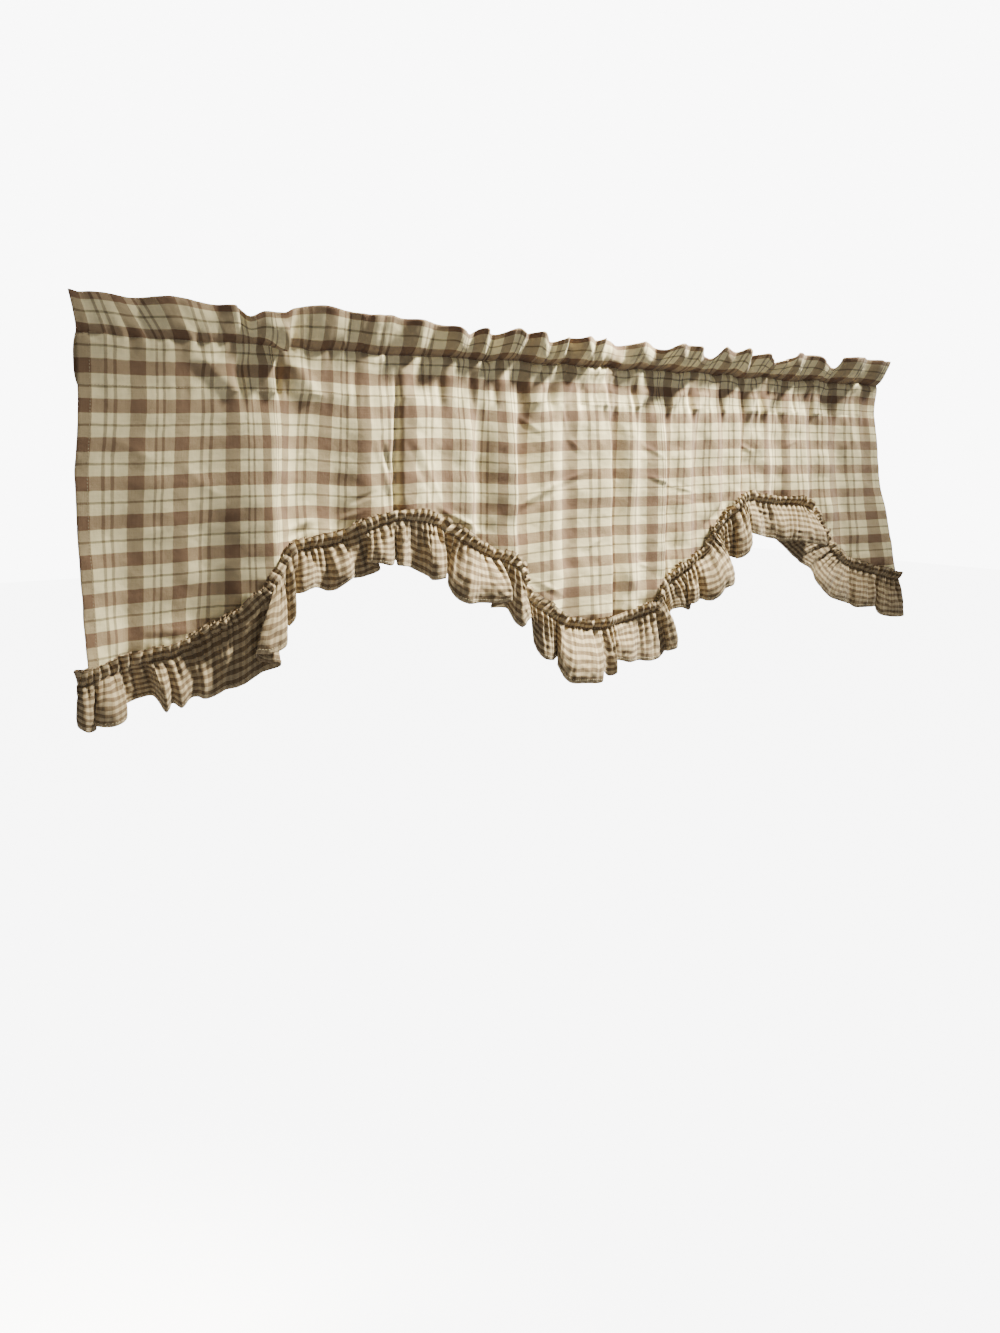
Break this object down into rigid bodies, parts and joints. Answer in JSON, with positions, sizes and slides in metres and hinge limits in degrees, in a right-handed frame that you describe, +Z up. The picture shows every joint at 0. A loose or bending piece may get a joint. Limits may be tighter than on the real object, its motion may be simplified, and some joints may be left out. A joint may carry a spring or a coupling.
{
  "type": "window valance",
  "caption": "Plaid cotton window valance with a ruffled header, a rod pocket and a scalloped lower edge with a gathered gingham ruffle.",
  "frame": {"origin": "on the axis of the rod that goes through the pocket, at the middle of the gathered width", "axes": "+X along the rod to the right as seen from the room, +Y towards the window, +Z up"},
  "size_m": [1.2436, 0.0552, 0.4345],
  "materials": {
    "plaid_heading": "brown and cream plaid cotton, plain weave, matt",
    "plaid_drop": "brown and cream plaid cotton, plain weave, matt",
    "gingham_ruffle": "small brown and cream gingham cotton, plain weave, matt"
  },
  "bodies": {
    "root": {"heading": "plaid_heading", "panel": "plaid_drop", "ruffle": "gingham_ruffle"}
  },
  "joints": []
}
